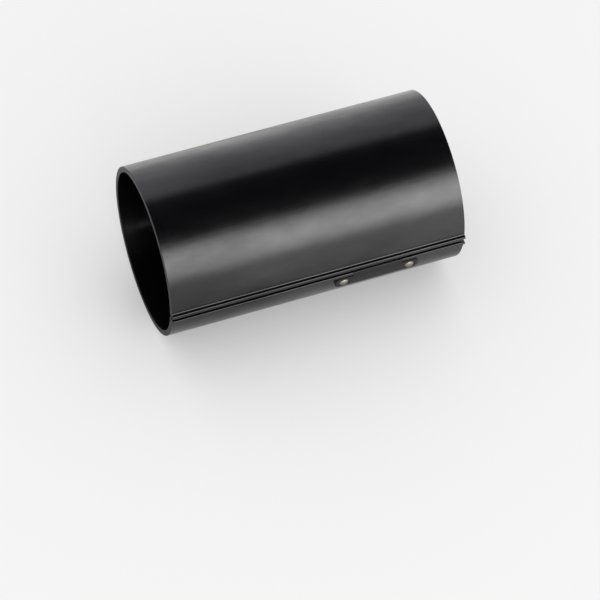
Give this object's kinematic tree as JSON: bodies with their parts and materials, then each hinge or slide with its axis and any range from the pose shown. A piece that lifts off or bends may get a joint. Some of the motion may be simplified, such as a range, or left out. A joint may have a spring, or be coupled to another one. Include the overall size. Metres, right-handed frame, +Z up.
{
  "type": "gift wrap cutter",
  "caption": "Slotted black plastic tube that slides along a roll of gift wrap; a small fixed steel blade across its lipped front slot cuts the sheet as it moves.",
  "frame": {"origin": "on the bore's axis, halfway along the tube", "axes": "+X along the tube, the way it is pushed to cut; -Y is the front, where the slot is; +Z up"},
  "size_m": [0.1064, 0.0613, 0.06],
  "materials": {
    "shell_plastic": "glossy black extruded plastic with faint lengthwise draw lines",
    "cartridge_plastic": "fine satin moulded black plastic",
    "blade_steel": "ground steel",
    "rivet_steel": "plain nickel-coloured steel"
  },
  "bodies": {
    "root": {"tube_shell": "shell_plastic", "cartridge_inner": "cartridge_plastic", "cartridge_outer": "cartridge_plastic", "cutting_blade": "blade_steel", "cartridge_rivets": "rivet_steel"}
  },
  "joints": []
}
